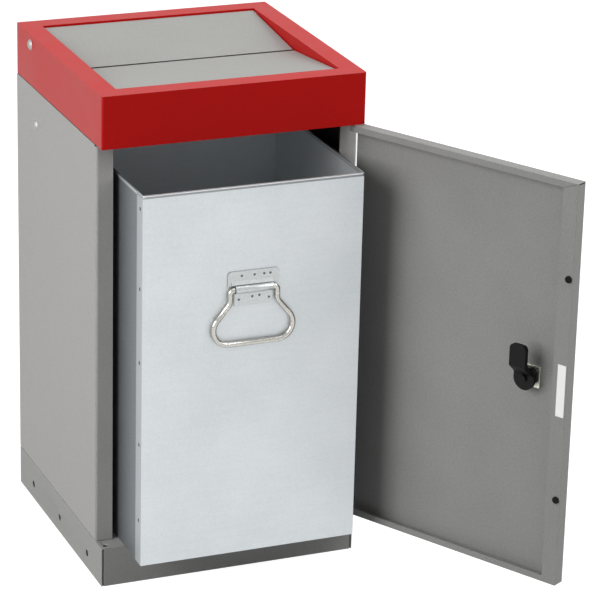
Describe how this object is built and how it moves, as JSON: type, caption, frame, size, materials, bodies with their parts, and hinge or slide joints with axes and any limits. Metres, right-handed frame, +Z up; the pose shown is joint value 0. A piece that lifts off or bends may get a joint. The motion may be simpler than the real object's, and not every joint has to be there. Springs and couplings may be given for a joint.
{
  "type": "recycling bin with side-hinged door",
  "caption": "Square sheet-metal recycling bin: two-flap drop-in lid, side-hinged lockable door and a lift-out inner container with a drop handle.",
  "frame": {"origin": "centre of the plinth's footprint, on the floor", "axes": "+X to the right as seen from the door side, +Y to the back, +Z up"},
  "size_m": [0.5051, 0.6284, 0.64],
  "materials": {
    "lid_paint": "satin powder coat",
    "body_paint": "fine-textured powder coat",
    "plinth_paint": "fine-textured powder coat",
    "flap_paint": "fine-textured powder coat",
    "door_paint": "fine-textured powder coat",
    "frame_steel": "galvanised",
    "container_sheet": "galvanised",
    "handle_steel": "bright zinc plate",
    "zinc_steel": "zinc plate",
    "bolt_heads": "satin",
    "spring_steel": "oiled",
    "lock_black": "black satin",
    "nylon": "matte",
    "rubber": "black",
    "label": "blank white film"
  },
  "bodies": {
    "cabinet": {"plinth": "plinth_paint", "floor_screws": "zinc_steel", "body_shell": "body_paint", "top_frame": "frame_steel", "lid_frame": "lid_paint", "frame_bolts": "bolt_heads", "frame_nuts": "zinc_steel", "hinge_rods": "zinc_steel", "rod_bushes": "nylon", "rod_caps": "zinc_steel"},
    "front_flap": {"front_flap": "flap_paint", "front_knuckles": "flap_paint", "front_springs": "spring_steel"},
    "rear_flap": {"rear_flap": "flap_paint", "rear_knuckles": "flap_paint", "rear_springs": "spring_steel"},
    "door": {"door_panel": "door_paint", "door_returns": "door_paint", "hinge_blocks": "zinc_steel", "door_pins": "zinc_steel", "hinge_washers": "nylon", "lock_housing": "lock_black", "lock_plate": "zinc_steel", "lock_nut": "lock_black", "door_buffers": "rubber", "door_label": "label"},
    "lock": {"lock_core": "zinc_steel", "lock_cam": "lock_black", "cam_screw": "lock_black"},
    "container": {"container_wrap": "container_sheet", "container_front": "container_sheet", "container_base": "container_sheet", "handle_plate": "handle_steel"},
    "handle": {"handle_bail": "handle_steel"}
  },
  "joints": [
    {"name": "front_flap_hinge", "type": "hinge", "parent": "cabinet", "child": "front_flap", "pos_m": [0, -0.1364, 0.631], "axis": [-1, 0, 0], "range_deg": [0, 36], "stiffness_Nm_per_rad": 0.25, "springref_deg": -103.13},
    {"name": "rear_flap_hinge", "type": "hinge", "parent": "cabinet", "child": "rear_flap", "pos_m": [0, 0.1364, 0.631], "axis": [1, 0, 0], "range_deg": [0, 36], "stiffness_Nm_per_rad": 0.25, "springref_deg": -103.13},
    {"name": "door_hinge", "type": "hinge", "parent": "cabinet", "child": "door", "pos_m": [0.1625, -0.162, 0.313], "axis": [0, 0, 1], "range_deg": [-119.3, 60.7]},
    {"name": "lock_turn", "type": "hinge", "parent": "door", "child": "lock", "pos_m": [0.29478, -0.39772, 0.312], "axis": [0.8721, 0.4894, 0], "range_deg": [0, 90]},
    {"name": "container_slide", "type": "slide", "parent": "cabinet", "child": "container", "axis": [0, -1, 0], "range_m": [-0.1151, 0.0587]},
    {"name": "handle_swing", "type": "hinge", "parent": "container", "child": "handle", "pos_m": [0.0015, -0.2358, 0.403], "axis": [-1, 0, 0], "range_deg": [0, 100]}
  ],
  "couplings": [
    {"joint": "container_slide", "follows": "door_hinge", "m_per_rad": 0.05523}
  ]
}
